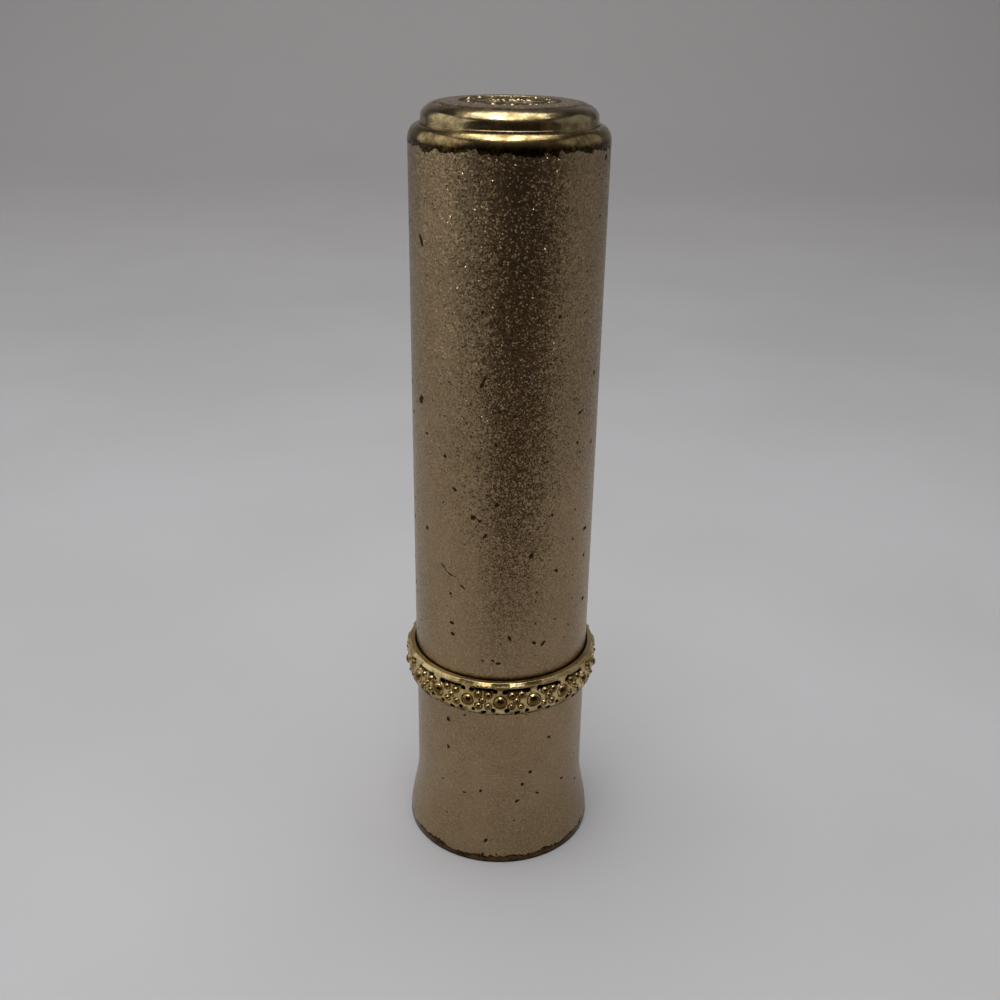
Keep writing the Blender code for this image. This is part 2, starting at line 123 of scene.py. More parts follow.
def outline(corners):
    """Points along (radius, height, fillet) corners: each fillet is a curve between its
    tangent points, and support points keep the straight runs flat in the shading."""
    points = [corners[0][:2]]
    for index in range(1, len(corners) - 1):
        before, here, after = (np.array(corners[index + step][:2]) for step in (-1, 0, 1))
        fillet = corners[index][2]
        back = before - here
        ahead = after - here
        back_room = np.linalg.norm(back)
        ahead_room = np.linalg.norm(ahead)
        cosine = float(np.clip(back @ ahead / (back_room * ahead_room), -1.0, 1.0))
        reach = fillet / math.tan(0.5 * math.acos(cosine)) if fillet > 0.0 else 0.0
        reach = min(reach, 0.49 * back_room, 0.49 * ahead_room)
        if reach < 1e-7:
            points.append(tuple(here))
            continue
        start = here + back / back_room * reach
        end = here + ahead / ahead_room * reach
        if back_room - reach > 4.0 * SUPPORT:
            points.append(tuple(start + back / back_room * SUPPORT))
        for step in range(FILLET_STEPS + 1):
            t = step / FILLET_STEPS
            points.append(tuple((1 - t) ** 2 * start + 2 * t * (1 - t) * here + t ** 2 * end))
        if ahead_room - reach > 4.0 * SUPPORT:
            points.append(tuple(end + ahead / ahead_room * SUPPORT))
    points.append(corners[-1][:2])
    return points


def revolve(name, radii, heights, angles, material, closed_loop):
    """Skin of revolution from grids of radius and height, one row of each per column.

    A column runs down the outer side. Its ends lie on the axis, or join in a closed loop.
    """
    columns, rows = radii.shape
    across = radii * np.cos(angles)[:, None]
    along = radii * np.sin(angles)[:, None]
    points = np.stack([across, along, heights], axis=2)
    faces = []
    if closed_loop:
        places = points.reshape(-1, 3).tolist()
        for column in range(columns):
            here = column * rows
            beside = (column + 1) % columns * rows
            for row in range(rows):
                below = (row + 1) % rows
                faces.append((here + row, here + below, beside + below, beside + row))
    else:
        body = points[:, 1:-1].reshape(-1, 3).tolist()
        inner_rows = rows - 2
        first = len(body)
        places = body + [points[0, 0].tolist(), points[0, -1].tolist()]
        for column in range(columns):
            here = column * inner_rows
            beside = (column + 1) % columns * inner_rows
            faces.append((first, here, beside))
            for row in range(inner_rows - 1):
                faces.append((here + row, here + row + 1, beside + row + 1, beside + row))
            faces.append((here + inner_rows - 1, first + 1, beside + inner_rows - 1))
    mesh = bpy.data.meshes.new(name)
    mesh.from_pydata(places, [], faces)
    mesh.shade_smooth()
    mesh.set_sharp_from_angle(angle=math.radians(50.0))
    mesh.materials.append(material)
    piece = bpy.data.objects.new(name, mesh)
    bpy.context.scene.collection.objects.link(piece)
    return piece


def column_angles(columns):
    return np.arange(columns) * (math.tau / columns)


def lathe(name, points, material, columns=SHELL_COLUMNS):
    """Plain turned skin from one outline."""
    radii = np.tile([point[0] for point in points], (columns, 1))
    heights = np.tile([point[1] for point in points], (columns, 1))
    closed_loop = points[0][0] > 0.0
    return revolve(name, radii, heights, column_angles(columns), material, closed_loop)


def place(piece, body, slot, *nodes):
    """Seat a skin on its body in the place of its CAD nodes."""
    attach(piece, body)
    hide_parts(*nodes)


# ---------------------------------------------------------------- finishes

def add(tree, kind, inputs=None, **settings):
    """One shader node with its settings, and each input set or linked."""
    node = tree.nodes.new("ShaderNode" + kind)
    for name, value in settings.items():
        setattr(node, name, value)
    for key, value in (inputs or {}).items():
        socket = node.inputs[key]
        if isinstance(value, bpy.types.NodeSocket):
            tree.links.new(value, socket)
        else:
            socket.default_value = value
    return node


def new_material(name):
    """An empty material with its shader, and the place on the piece in metres."""
    material = bpy.data.materials.new(name)
    material.use_nodes = True
    tree = material.node_tree
    tree.nodes.clear()
    shader = add(tree, "BsdfPrincipled")
    add(tree, "OutputMaterial", {"Surface": shader.outputs["BSDF"]})
    where = add(tree, "TexCoord").outputs["Object"]
    return material, tree, shader, where


def noise(tree, where, size, detail=2.0, roughness=0.5):
    """Cloudy pattern from 0 to 1 whose blobs are about size across."""
    node = add(tree, "TexNoise", {
        "Vector": where, "Scale": 1.0 / size, "Detail": detail, "Roughness": roughness})
    return node.outputs["Fac"]


def ramp(tree, value, low, high, to_low=0.0, to_high=1.0, smooth=True):
    """Turn a value between low and high into one between to_low and to_high."""
    node = add(tree, "MapRange", {
        "Value": value, "From Min": low, "From Max": high, "To Min": to_low, "To Max": to_high},
        interpolation_type="SMOOTHSTEP" if smooth else "LINEAR")
    return node.outputs["Result"]


def calc(tree, operation, first, second=0.0, third=0.0):
    """Arithmetic on one to three values."""
    node = add(tree, "Math", {0: first, 1: second, 2: third}, operation=operation)
    return node.outputs["Value"]


def blend(tree, amount, first, second):
    """Mix of two colours; a hex colour may stand for either."""
    pair = [linear(side) if isinstance(side, str) else side for side in (first, second)]
    node = add(tree, "Mix", {0: amount, 6: pair[0], 7: pair[1]}, data_type="RGBA")
    return node.outputs[2]


def blend_value(tree, amount, first, second):
    """Mix of two values."""
    node = add(tree, "Mix", {0: amount, 2: first, 3: second}, data_type="FLOAT")
    return node.outputs[0]


def cylinder_places(tree, where):
    """The place's X, Y and Z, and its distance from the axis."""
    parts = add(tree, "SeparateXYZ", {"Vector": where})
    flat = add(tree, "CombineXYZ", {"X": parts.outputs["X"], "Y": parts.outputs["Y"]})
    radius = add(tree, "VectorMath", {0: flat.outputs["Vector"]}, operation="LENGTH")
    return parts.outputs, radius.outputs["Value"]


def torn_places(tree, where, size, reach):
    """Places pushed about at random, by up to half the reach, in blobs of the given size."""
    drift = add(tree, "TexNoise", {"Vector": where, "Scale": 1.0 / size, "Detail": 2.0})
    push = add(tree, "VectorMath", {0: drift.outputs["Color"], 1: (0.5, 0.5, 0.5)}, operation="SUBTRACT")
    torn = add(tree, "VectorMath", {
        0: push.outputs["Vector"], 1: (reach,) * 3, 2: where}, operation="MULTIPLY_ADD")
    return torn.outputs["Vector"]


def connect(tree, shader, **values):
    """Link each value to the shader's input of that name, with _ for a space."""
    for name, value in values.items():
        tree.links.new(value, shader.inputs[name.replace("_", " ")])


def pits(tree, where, cell, share, smallest, largest):
    """Chips of odd shape in some of the cells. share is the part of the cells without one,
    smallest and largest are the chips' radii over the cell."""
    torn = torn_places(tree, where, 0.2 * cell, 0.3 * cell)
    cells = add(tree, "TexVoronoi", {"Vector": torn, "Scale": 1.0 / cell})
    lot = add(tree, "SeparateColor", {"Color": cells.outputs["Color"]})
    reach = ramp(tree, lot.outputs["Green"], 0.0, 1.0, smallest, largest, smooth=False)
    reach = calc(tree, "MULTIPLY", reach, calc(tree, "GREATER_THAN", lot.outputs["Red"], share))
    return ramp(tree, calc(tree, "SUBTRACT", reach, cells.outputs["Distance"]), -0.012, 0.012)


def marks(tree, where, spots):
    """Chips and strokes at their own places on the front. A spot is its place across and
    up, half its length and half its width, all in mm, and its tilt in degrees."""
    torn = torn_places(tree, where, 0.3 * MM, 0.22 * MM)
    total = 0.0
    for across, up, half_length, half_width, tilt in spots:
        local = add(tree, "Mapping", {
            "Vector": torn, "Location": (across * MM, 0.0, up * MM),
            "Rotation": (0.0, math.radians(-tilt), 0.0),
            "Scale": (half_length * MM, 1.0, half_width * MM)}, vector_type="TEXTURE")
        far = add(tree, "VectorMath", {0: local.outputs["Vector"]}, operation="LENGTH")
        total = calc(tree, "MAXIMUM", total, ramp(tree, far.outputs["Value"], 1.1, 0.8))
    along = add(tree, "SeparateXYZ", {"Vector": where}).outputs["Y"]
    return calc(tree, "MULTIPLY", total, calc(tree, "LESS_THAN", along, 0.0))


def frosted_lacquer(name, find_wear, bare_tones, pit_share, spots):
    """Champagne lacquer sprayed over bead-blasted brass: a soft metallic sheen whose blasted
    facets sparkle where the lacquer mirrors something dark, small dark chips, and bare
    tarnished brass with a dark torn edge where hands rubbed the lacquer off."""
    material, tree, shader, where = new_material(name)
    parts, radius = cylinder_places(tree, where)
    grain = noise(tree, where, 0.2 * MM, detail=2.0, roughness=0.7)
    clouds = noise(tree, where, 9.0 * MM, detail=3.0)
    mottle = noise(tree, where, 1.6 * MM, detail=3.0)
    tone = blend(tree, ramp(tree, clouds, 0.35, 0.65), "#968062", "#8b7659")
    tone = blend(tree, ramp(tree, mottle, 0.3, 0.75, 0.0, 0.4), tone, "#7c684c")
    tone = blend(tree, ramp(tree, grain, 0.35, 0.75, 0.0, 0.55), tone, "#bda682")
    bare, edge, burnished = find_wear(tree, where, parts["Z"], radius)
    tarnish = noise(tree, where, 1.1 * MM, detail=4.0, roughness=0.6)
    brass = blend(tree, ramp(tree, tarnish, 0.35, 0.7), *bare_tones)
    streaks = noise(tree, where, 0.4 * MM, detail=3.0, roughness=0.7)
    # Short of the burnished part the bare brass is dark and streaked: grime, and on the shoulder also a
    # painted dark reflection of what stands in front.
    brass = blend(tree, burnished, blend(tree, ramp(tree, streaks, 0.4, 0.75), "#20160b", "#6e5528"), brass)
    colour = blend(tree, bare, tone, brass)
    # The dark edge is the torn lacquer's outline; on the foot it also holds a painted contact shadow along
    # the bottom.
    colour = blend(tree, edge, colour, "#1b130a")
    chipped = pits(tree, where, 1.7 * MM, pit_share, 0.05, 0.17)
    chipped = calc(tree, "MAXIMUM", chipped, pits(tree, where, 0.9 * MM, pit_share + 0.1, 0.05, 0.13))
    if spots:
        chipped = calc(tree, "MAXIMUM", chipped, marks(tree, where, spots))
    chipped = calc(tree, "MULTIPLY", chipped, calc(tree, "SUBTRACT", 1.0, bare))
    colour = blend(tree, chipped, colour, "#362512")
    dark = calc(tree, "MAXIMUM", chipped, edge)
    film_rough = ramp(tree, grain, 0.3, 0.7, 0.34, 0.27)
    bare_rough = ramp(tree, tarnish, 0.3, 0.7, 0.16, 0.3)
    rough = blend_value(tree, dark, blend_value(tree, bare, film_rough, bare_rough), 0.8)
    metal = calc(tree, "SUBTRACT", 1.0, dark)
    film = calc(tree, "SUBTRACT", 1.0, calc(tree, "MAXIMUM", bare, chipped))
    # Each blasted facet leans its own way, and some lean much more and glint. They are under
    # 0.1 mm, drawn at 0.12 mm so that they show. Hands polished them down below mid-height.
    facets = add(tree, "TexVoronoi", {"Vector": where, "Scale": 1.0 / FACET_SIZE})
    lot = add(tree, "SeparateColor", {"Color": facets.outputs["Color"]})
    chance = calc(tree, "FRACT", calc(tree, "MULTIPLY", lot.outputs["Red"], 7.0))
    upper = ramp(tree, parts["Z"], CALM_BELOW, STEEP_ABOVE)
    steep = calc(tree, "MULTIPLY", ramp(tree, chance, 0.45, 1.0), upper)
    usual = ramp(tree, parts["Z"], CALM_BELOW - 8.0 * MM, STEEP_ABOVE - 7.0 * MM, 0.16, 0.24)
    slant = calc(tree, "MULTIPLY_ADD", film, calc(tree, "MULTIPLY_ADD", steep, 0.8, usual), 0.04)
    lean = add(tree, "VectorMath", {0: facets.outputs["Color"], 1: (0.5, 0.5, 0.5)}, operation="SUBTRACT")
    lean = add(tree, "VectorMath", {0: lean.outputs["Vector"], "Scale": slant}, operation="SCALE")
    surface = add(tree, "NewGeometry").outputs["Normal"]
    leaning = add(tree, "VectorMath", {0: surface, 1: lean.outputs["Vector"]}, operation="ADD")
    facing = add(tree, "VectorMath", {0: leaning.outputs["Vector"]}, operation="NORMALIZE")
    rub = noise(tree, where, 0.5 * MM, detail=3.0)
    relief = calc(tree, "MULTIPLY_ADD", film, 1.0, calc(tree, "MULTIPLY", rub, 0.4))
    bump = add(tree, "Bump", {
        "Height": relief, "Strength": 1.0, "Distance": 0.018 * MM, "Normal": facing.outputs["Vector"]})
    glint = calc(tree, "MULTIPLY_ADD", dark, -0.4, 0.5)
    connect(tree, shader, Base_Color=colour, Roughness=rough, Metallic=metal,
            Specular_IOR_Level=glint, Normal=bump.outputs["Normal"])
    return material


def ragged(tree, where, value, line, swing, grime):
    """Wear past a line across the piece, with a torn edge that swings about it: where the
    brass is bare, its dark outline, and where it is burnished, beyond a width of grime, which
    on the shoulder is also painted shade."""
    lobes = noise(tree, where, 1.3 * MM, detail=1.0)
    teeth = noise(tree, where, 0.35 * MM, detail=2.0, roughness=0.6)
    torn = calc(tree, "MULTIPLY_ADD", teeth, 0.5, lobes)
    level = calc(tree, "MULTIPLY_ADD", calc(tree, "SUBTRACT", torn, 0.75), swing, value)
    bare = ramp(tree, level, line - 0.03 * MM, line + 0.03 * MM)
    outline_start = ramp(tree, level, line - 0.09 * MM, line - 0.04 * MM)
    outline_end = ramp(tree, level, line + 0.08 * MM, line + 0.02 * MM)
    patches = calc(tree, "MULTIPLY_ADD", calc(tree, "SUBTRACT", teeth, 0.5), 0.5 * MM, value)
    burnished = ramp(tree, patches, line + 0.5 * grime, line + 1.5 * grime)
    return bare, calc(tree, "MULTIPLY", outline_start, outline_end), burnished


def shoulder_wear(tree, where, height, radius):
    """Bare brass over the rolled shoulder, its lower half dark with grime and with a painted dark reflection
    of what stands in front.
    """
    return ragged(tree, where, height, SHOULDER_START - 0.28 * MM, 1.5 * MM, 0.6 * MM)


def foot_wear(tree, where, height, radius):
    """Bare brass round the bottom edge, with a painted contact shadow where it meets the table."""
    lowered = calc(tree, "MULTIPLY", height, -1.0)
    bare, edge, burnished = ragged(tree, where, lowered, -0.85 * MM, 1.3 * MM, 0.12 * MM)
    # Painted contact shadow: the bottom 0.3 mm is painted dark where the foot meets the table.
    return bare, calc(tree, "MAXIMUM", edge, ramp(tree, height, 0.3 * MM, 0.12 * MM)), burnished


def top_wear(tree, where, height, radius):
    """Bare brass on the plinth's rounded edge, its wall and ledge, not on its flat, and on
    the crest, whose hollows are filled with grime."""
    rim = PLINTH_RADIUS - 0.55 * PLINTH_EDGE_WIDTH
    bare, edge, burnished = ragged(tree, where, radius, rim, 0.9 * MM, 0.05 * MM)
    bare = calc(tree, "MAXIMUM", bare, ramp(tree, radius, rim - 0.5 * MM, rim + 0.3 * MM))
    edge = calc(tree, "MULTIPLY", edge, ramp(tree, noise(tree, where, 3.0 * MM), 0.5, 0.6))
    crest = ramp(tree, radius, CREST_RADIUS + 0.1 * MM, CREST_RADIUS)
    hollow = ramp(tree, height, TOP_HIGH.z - 0.02 * MM, TOP_HIGH.z - 0.09 * MM)
    edge = calc(tree, "MAXIMUM", edge, calc(tree, "MULTIPLY", hollow, calc(tree, "MULTIPLY", crest, 0.9)))
    return calc(tree, "MAXIMUM", bare, crest), edge, calc(tree, "MAXIMUM", burnished, crest)


def simple_metal(name, bright, dull, size, rough_low, rough_high, bump_depth, upright):
    """Drawn or polished metal: two soft tones, and streaks along the case that vary its
    shine. upright is the streaks' scale along the case over that across it."""
    material, tree, shader, where = new_material(name)
    drawn = add(tree, "Mapping", {"Vector": where, "Scale": (1.0, 1.0, upright)}).outputs["Vector"]
    streaks = noise(tree, drawn, size, detail=4.0, roughness=0.6)
    clouds = noise(tree, where, 4.0 * MM, detail=2.0)
    colour = blend(tree, ramp(tree, clouds, 0.3, 0.7), bright, dull)
    rough = ramp(tree, streaks, 0.3, 0.7, rough_low, rough_high)
    bump = add(tree, "Bump", {"Height": streaks, "Strength": 0.6, "Distance": bump_depth})
    shader.inputs["Metallic"].default_value = 1.0
    connect(tree, shader, Base_Color=colour, Roughness=rough, Normal=bump.outputs["Normal"])
    return material


def gilt_brass(hollow, crown):
    """Cast brass, gilded and burnished by handling: bright gold on the web and the lip,
    browner on the rubbed beads, partly patina and partly a painted dark reflection, with
    painted shade in the hollows and in the gap along the cap."""
    material, tree, shader, where = new_material("gilt_cast_brass")
    parts, radius = cylinder_places(tree, where)
    # Painted shade: darker where the surface sinks into the hollows, its edge broken by noise; the lip's top
    # is kept unshaded.
    shade_jitter = noise(tree, where, 0.4 * MM, detail=3.0, roughness=0.6)
    raised = calc(tree, "MULTIPLY_ADD", calc(tree, "SUBTRACT", shade_jitter, 0.5), 0.25 * MM, radius)
    on_top = ramp(tree, parts["Z"], RING_HIGH.z - 0.34 * MM, RING_HIGH.z - 0.2 * MM)
    unshaded = calc(tree, "MAXIMUM", ramp(tree, raised, hollow, crown), on_top)
    tone = blend(tree, ramp(tree, noise(tree, where, 2.5 * MM), 0.35, 0.65), "#d6bf8e", "#bba069")
    # The beads are painted a darker brown: partly patina, partly a painted dark reflection of what stands in
    # front.
    bead = ramp(tree, radius, RING_HIGH.x - 0.3 * MM, RING_HIGH.x - 0.2 * MM)
    tone = blend(tree, bead, tone, "#67502a")
    # Painted shade in the gap where the ring meets the cap.
    gap_shade = ramp(tree, radius, CAP_RADIUS + 0.24 * MM, CAP_RADIUS + 0.16 * MM)
    unshaded = calc(tree, "MULTIPLY", unshaded, calc(tree, "SUBTRACT", 1.0, gap_shade))
    colour = blend(tree, unshaded, "#2a1d0c", tone)
    worn = ramp(tree, radius, crown, crown + 0.2 * MM)
    rough = ramp(tree, unshaded, 0.0, 1.0, 0.5, 0.32)
    rough = calc(tree, "MULTIPLY_ADD", worn, -0.14, rough)
    shader.inputs["Metallic"].default_value = 1.0
    fine = noise(tree, where, 0.3 * MM, detail=3.0)
    bump = add(tree, "Bump", {"Height": fine, "Strength": 0.7, "Distance": 0.06 * MM})
    connect(tree, shader, Base_Color=colour, Roughness=rough, Normal=bump.outputs["Normal"])
    return material


def lipstick_wax():
    """Wax cast in a polished mould: an even deep rose with a satin skin and faint bloom."""
    material, tree, shader, where = new_material("moulded_lipstick_wax")
    clouds = noise(tree, where, 3.0 * MM, detail=3.0)
    colour = blend(tree, ramp(tree, clouds, 0.35, 0.7), "#8e1f2b", "#a02c38")
    skin = noise(tree, where, 0.35 * MM, detail=3.0)
    bump = add(tree, "Bump", {"Height": skin, "Strength": 0.4, "Distance": 0.02 * MM})
    shader.inputs["IOR"].default_value = 1.45
    shader.inputs["Subsurface Weight"].default_value = 0.15
    shader.inputs["Subsurface Scale"].default_value = 1.0 * MM
    rough = ramp(tree, skin, 0.3, 0.7, 0.3, 0.42)
    connect(tree, shader, Base_Color=colour, Roughness=rough, Normal=bump.outputs["Normal"])
    return material


def matt_stock(name, light, dark, size, roughness):
    """Paper or moulded plastic: no metal, a slight mottle and a fine tooth."""
    material, tree, shader, where = new_material(name)
    fibres = noise(tree, where, size, detail=5.0, roughness=0.65)
    colour = blend(tree, ramp(tree, fibres, 0.35, 0.7), light, dark)
    bump = add(tree, "Bump", {"Height": fibres, "Strength": 0.4, "Distance": 0.02 * MM})
    shader.inputs["Roughness"].default_value = roughness
    connect(tree, shader, Base_Color=colour, Normal=bump.outputs["Normal"])
    return material


# ---------------------------------------------------------------- pieces

def flare_radius(height):
    """Outer radius of the foot: an S-shaped flare that runs out in the neck."""
    swing = 0.5 * (1.0 + math.cos(math.pi * min(height / FLARE_HEIGHT, 1.0)))
    return NECK_RADIUS + (FOOT_RADIUS - NECK_RADIUS) * swing


def make_base(material):
    """Drawn shell: turned-in top, flared foot, rolled rim."""
    top = BASE_HIGH.z
    mouth = -LINER_LOW.x - 0.3 * MM
    rim = FOOT_RADIUS - RIM_WIDTH
    upper = outline([(mouth, top, 0.0), (NECK_RADIUS, top, 0.35 * MM), (NECK_RADIUS, FLARE_HEIGHT, 0.0)])
    steps = 26
    heights = [FLARE_HEIGHT * (steps - step) / steps for step in range(1, steps)]
    flare = [(flare_radius(height), height) for height in heights if height > 0.4 * MM]
    lower = outline([
        flare[-1] + (0.0,), (FOOT_RADIUS, 0.0, 0.26 * MM), (rim, 0.0, 0.1 * MM), (rim, WALL, 0.1 * MM),
        (FOOT_RADIUS - WALL, WALL, 0.0)])
    inside = [(flare_radius(height) - WALL, height) for height in reversed(heights) if height > 0.8 * MM]
    close = [(NECK_RADIUS - WALL, FLARE_HEIGHT), (NECK_RADIUS - WALL, top - WALL), (mouth, top - WALL)]
    base = lathe("base_shell_skin", upper + flare + lower[1:] + inside + close, material)
    place(base, "base", "base_lacquer", "base_shell")


def make_plate(brass, paper):
    """Stamped disc with a stiffening ring, and the blank paper disc stuck on it."""
    edge = PLATE_HIGH.x
    low = PLATE_LOW.z
    high = PLATE_HIGH.z
    step = 0.12 * MM
    ring = 0.78 * edge
    plate = lathe("base_plate_skin", outline([
        (0.0, high, 0.0), (edge, high, 0.1 * MM), (edge, low, 0.1 * MM),
        (ring + 2.0 * step, low, step), (ring + step, low + step, step),
        (ring - step, low + step, step), (ring - 2.0 * step, low, step), (0.0, low, 0.0)]), brass)
    place(plate, "base", "plate_brass", "base_plate")
    radius = LABEL_HIGH.x
    angles = column_angles(128)
    share = np.array([0.0, 0.3, 0.6, 0.85, 0.97, 1.0, 1.0, 0.97, 0.6, 0.3, 0.0])
    level = np.array([1.0, 1.0, 1.0, 1.0, 1.0, 0.8, 0.2, 0.0, 0.0, 0.0, 0.0])
    thickness = LABEL_HIGH.z - LABEL_LOW.z
    curl = 0.06 * MM * share ** 4
    heights = low - thickness * (1.0 - level) - 0.02 * MM
    wave = np.outer(np.sin(3.0 * angles), curl)
    label = revolve(
        "shade_label_skin", np.tile(share * radius, (128, 1)), heights - np.abs(wave), angles, paper, False)
    place(label, "base", "label_paper", "shade_label")


def bead_layout():
    """Beads and holes of one repeat of the ring: across, up, radius of dome, radius of hole."""
    pitch = math.tau * RING_HIGH.x / BEAD_COUNT
    half = 0.5 * pitch
    spots = [(0.0, BEAD_ROW, 0.70 * MM, 0.69 * MM)]
    spots += [(half, 1.87 * MM, 0.36 * MM, 0.35 * MM)]
    for side in (-1.0, 1.0):
        spots += [(half + side * 0.54 * MM, 2.56 * MM, 0.43 * MM, 0.42 * MM)]
        spots += [(half + side * 0.52 * MM, 1.18 * MM, 0.38 * MM, 0.37 * MM)]
        spots += [(side * 0.56 * MM, 2.94 * MM, 0.0, 0.25 * MM)]
        spots += [(side * 0.72 * MM, 0.72 * MM, 0.0, 0.20 * MM)]
        spots += [(half + side * 0.10 * MM, 0.46 * MM, 0.0, 0.13 * MM)]
        spots += [(side * 0.36 * MM, 0.10 * MM, 0.0, 0.14 * MM)]
    return pitch, spots


def smooth_step(value, low, high):
    t = np.clip((value - low) / (high - low), 0.0, 1.0)
    return t * t * (3.0 - 2.0 * t)


def make_ring(material):
    """Cast ring: a smooth lip, and below it rows of beads standing in a web."""
    pitch, spots = bead_layout()
    columns = RING_COLUMNS_PER_BEAD * BEAD_COUNT
    angles = column_angles(columns)
    across = angles * RING_HIGH.x
    around = math.tau * RING_HIGH.x
    low = RING_LOW.z
    high = RING_HIGH.z
    inner = CAP_RADIUS + 0.08 * MM
    floor = RING_HIGH.x - RELIEF_DEPTH
    lip_low = high - LIP_HEIGHT
    rows = np.linspace(lip_low, low, 62)
    up = rows - low
    grid_up, grid_across = np.meshgrid(up, across)
    keep = np.ones_like(grid_up)
    dome = np.zeros_like(grid_up)
    chance = np.random.default_rng(7)
    for index in range(BEAD_COUNT):
        for spot_across, spot_up, dome_radius, hole_radius in spots:
            shift = chance.normal(0.0, 0.055 * MM, 2)
            scale = 1.0 + chance.normal(0.0, 0.09)
            gap = (grid_across - (index + 0.5) * pitch - spot_across - shift[0] + 0.5 * around) % around
            gap = gap - 0.5 * around
            far = np.hypot(gap, grid_up - spot_up - shift[1])
            keep *= smooth_step(far, hole_radius * scale - 0.05 * MM, hole_radius * scale + 0.06 * MM)
            if dome_radius > 0.0:
                rise = np.sqrt(np.clip(1.0 - (far / (dome_radius * scale)) ** 2, 0.0, 1.0))
                height = dome_radius * (1.0 if dome_radius > 0.5 * MM else 1.55)
                dome = np.maximum(dome, rise * height)
    # The groove under the lip, open between the large beads.
    along = np.cos(math.tau * (grid_across / pitch - 0.5))
    groove = smooth_step(grid_up, 2.94 * MM, 3.06 * MM)
    groove *= smooth_step(along, 0.25, -0.05)
    level = WEB_RISE * keep * (1.0 - groove)
    bulge = -0.24 * MM * ((grid_up - BEAD_ROW) / BEAD_ROW) ** 2
    casting = 0.045 * MM * np.sin(2.3 * grid_across / MM + 1.0) * np.cos(5.1 * grid_up / MM)
    strut = 0.14 * MM * smooth_step(grid_up, 2.5 * MM, 3.1 * MM) * smooth_step(along, 0.1, 0.6)
    relief = np.maximum(level + (casting + strut) * keep, dome)
    face = floor + (relief + bulge) * smooth_step(grid_up, -0.02 * MM, 0.14 * MM)
    face -= 0.12 * MM * smooth_step(grid_up, 0.22 * MM, 0.0)
    lip_radius = RING_HIGH.x - 0.24 * MM
    bars = smooth_step(-np.cos(math.tau * (across / pitch - 0.5)), -0.5, 0.45)
    lip = outline([
        (inner, lip_low, 0.0), (inner, high, 0.09 * MM),
        (lip_radius - 0.34 * MM, high - 0.03 * MM, 0.12 * MM), (lip_radius, high - 0.34 * MM, 0.1 * MM),
        (lip_radius - 0.02 * MM, lip_low, 0.0)])
    lip_radii = np.tile([point[0] for point in lip], (columns, 1))
    lip_heights = np.tile([point[1] for point in lip], (columns, 1))
    outer = smooth_step(lip_radii, lip_radius - 0.4 * MM, lip_radius - 0.1 * MM)
    lip_radii -= outer * (1.0 - bars)[:, None] * 0.16 * MM
    lip_heights -= outer * (1.0 - bars)[:, None] * 0.08 * MM * smooth_step(lip_heights, lip_low, high)
    back_radii = np.tile([floor - 0.1 * MM, inner + 0.12 * MM, inner], (columns, 1))
    back_heights = np.tile([low, low, low + 0.12 * MM], (columns, 1))
    radii = np.hstack([lip_radii, face, back_radii])
    heights = np.hstack([lip_heights, np.tile(rows, (columns, 1)), back_heights])
    ring = revolve("ornament_ring_skin", radii, heights, angles, material, True)
    place(ring, "base", "ring_gilt", "ornament_ring")


def make_cap_shell(material):
    """Long tube, a little wider towards its top, with a rolled shoulder."""
    low = SHELL_LOW.z
    wide = SHELL_HIGH.x
    mouth = LEDGE_RADIUS + 0.04 * MM
    roll = wide - mouth
    rise = SHELL_HIGH.z - SHOULDER_START
    steps = 18
    turn = [math.radians(90.0 - 90.0 * step / steps) for step in range(steps + 1)]
    shoulder = [(mouth + roll * math.cos(a), SHOULDER_START + rise * math.sin(a)) for a in turn]
    wall = [(wide, SHOULDER_START - SUPPORT)]
    foot = outline([
        (wide, SHOULDER_START - 2.0 * SUPPORT, 0.0), (CAP_RADIUS, low, 0.12 * MM),
        (CAP_RADIUS - WALL, low, 0.12 * MM), (CAP_RADIUS - WALL, low + 2.0 * MM, 0.0)])
    inner = [(mouth + (roll - WALL) * math.cos(a), SHOULDER_START + (rise - WALL) * math.sin(a))
             for a in reversed(turn)]
    shell = lathe("cap_shell_skin", shoulder + wall + foot + inner, material)
    place(shell, "cap", "cap_lacquer", "cap_shell")


def crest_relief(radius, angle):
    """Worn rosette of eight leaves in a border of uneven knots, as height above the field."""
    border = 0.84 * CREST_RADIUS
    knots = 0.5 + 0.3 * np.cos(13.0 * angle + 1.3 * np.sin(3.0 * angle)) + 0.2 * np.cos(29.0 * angle)
    rope = np.exp(-((radius - border) / (0.3 * MM)) ** 2) * knots
    petals = np.abs(np.cos(4.0 * angle)) ** 0.7
    span = 0.70 * CREST_RADIUS
    leaf = np.clip(petals - (radius / span) ** 3, 0.0, 1.0) * smooth_step(radius, 0.5 * MM, 1.0 * MM)
    vein = 0.35 * np.exp(-(np.sin(4.0 * angle + math.pi / 2.0) * radius / (0.16 * MM)) ** 2)
    inner = np.clip(np.abs(np.sin(4.0 * angle)) ** 0.8 - (radius / (0.45 * span)) ** 2, 0.0, 1.0)
    boss = np.sqrt(np.clip(1.0 - (radius / (0.55 * MM)) ** 2, 0.0, 1.0))
    rosette = np.maximum.reduce([rope, 0.9 * leaf - vein * leaf, 0.8 * inner, boss])
    across = radius * np.cos(angle) / MM
    along = radius * np.sin(angle) / MM
    wear = np.sin(7.1 * across + 2.3 * np.sin(3.1 * along)) * np.sin(8.3 * along + 1.9 * np.sin(2.7 * across))
    return rosette * (0.8 + 0.25 * wear) + 0.16 * wear


